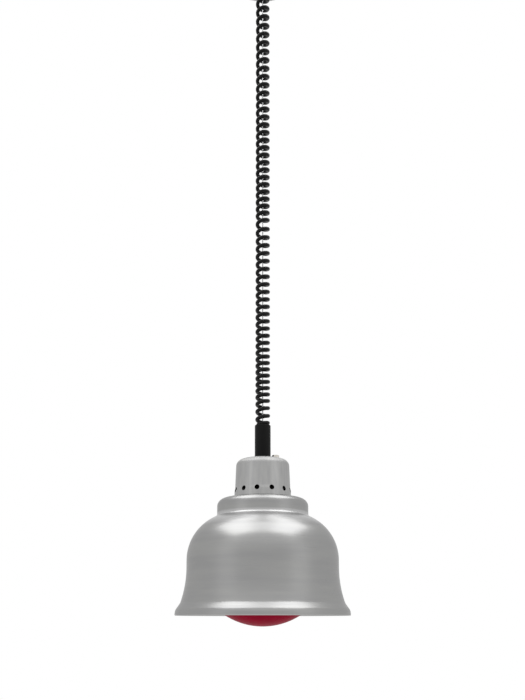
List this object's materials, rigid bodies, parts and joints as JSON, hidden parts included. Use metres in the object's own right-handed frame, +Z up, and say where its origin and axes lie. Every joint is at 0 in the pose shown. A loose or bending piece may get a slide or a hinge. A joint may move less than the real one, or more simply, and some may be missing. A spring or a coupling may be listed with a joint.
{
  "type": "food heat lamp",
  "caption": "Rise-and-fall food heat lamp: spun aluminium bell shade with a vented cap and a red infrared bulb, on a curly cord and steel wire from a spring reel in a ceiling canopy.",
  "frame": {"origin": "On the ceiling, midway between the mounting plate's two screw holes", "axes": "+Z up along the lamp's axis, into the ceiling; -Y towards the viewer of the picture; +X to the viewer's right, along the line of the two ceiling screws"},
  "size_m": [0.225, 0.225, 1.0047],
  "materials": {
    "spun_aluminium": "spun and satin-brushed round its axis, clear lacquer",
    "plated_steel": "bright zinc plate",
    "nickel_plate": "bright nickel plate",
    "black_nylon": "moulded, fine matt grain",
    "spring_steel": "blue-grey tempered strip",
    "wire_strand": "fine stranded wire rope",
    "white_nylon": "moulded nylon",
    "brass": "pressed sheet, slightly dulled",
    "core_insulation": "smooth silicone in brown, green and yellow, and blue",
    "black_flex": "smooth extruded sheath, soft sheen",
    "porcelain": "dark-glazed porcelain",
    "switch_plastic": "moulded, semi-gloss",
    "red_glass": "ruby-stained reflector glass",
    "clear_glass": "clear glass stem",
    "tungsten": "dark drawn wire",
    "black_vitrite": "black glass insulator",
    "solder": "dull solder"
  },
  "bodies": {
    "root": {"mounting_plate": "plated_steel", "canopy": "spun_aluminium", "canopy_screws": "nickel_plate", "reel_frame": "plated_steel", "frame_screws": "plated_steel", "reel_axle": "plated_steel", "axle_clips": "plated_steel", "terminal_block": "white_nylon", "terminal_screws": "brass", "canopy_leads": "core_insulation", "outlet_bush": "black_nylon", "bush_nut": "black_nylon", "steel_wire": "wire_strand", "curly_cord": "black_flex"},
    "reel": {"reel_drum": "black_nylon", "drum_cover": "black_nylon", "balance_spring": "spring_steel", "wire_winding": "wire_strand"},
    "head": {"wire_ferrule": "wire_strand", "cord_sleeve": "black_nylon", "cord_grip": "black_nylon", "sleeve_nut": "plated_steel", "threaded_nipple": "plated_steel", "vent_cap": "spun_aluminium", "cap_screws": "nickel_plate", "holder_bracket": "plated_steel", "lock_nut": "plated_steel", "bracket_screws": "plated_steel", "shade": "spun_aluminium", "holder_cover": "porcelain", "holder_body": "porcelain", "holder_shell": "brass", "holder_contact": "brass", "switch_body": "switch_plastic", "switch_terminals": "brass", "bulb_glass": "red_glass", "bulb_stem": "clear_glass", "bulb_filament": "tungsten", "bulb_cap": "nickel_plate", "bulb_insulator": "black_vitrite", "bulb_contact": "solder"},
    "rocker": {"switch_rocker": "switch_plastic"}
  },
  "joints": [
    {"name": "height", "type": "slide", "parent": "root", "child": "head", "axis": [0, 0, -1], "range_m": [-0.15, 0.51], "deforming": ["curly_cord", "steel_wire"]},
    {"name": "reel_turn", "type": "hinge", "parent": "root", "child": "reel", "pos_m": [0, 0.022, -0.036], "axis": [1, 0, 0], "range_deg": [-395, 1335]},
    {"name": "switch_rock", "type": "hinge", "parent": "head", "child": "rocker", "pos_m": [0.00918, 0.01431, -0.78669], "axis": [0.5402, 0.8415, 0], "range_deg": [0, 22]}
  ],
  "couplings": [
    {"joint": "reel_turn", "follows": "height", "rad_per_m": 45.455}
  ]
}
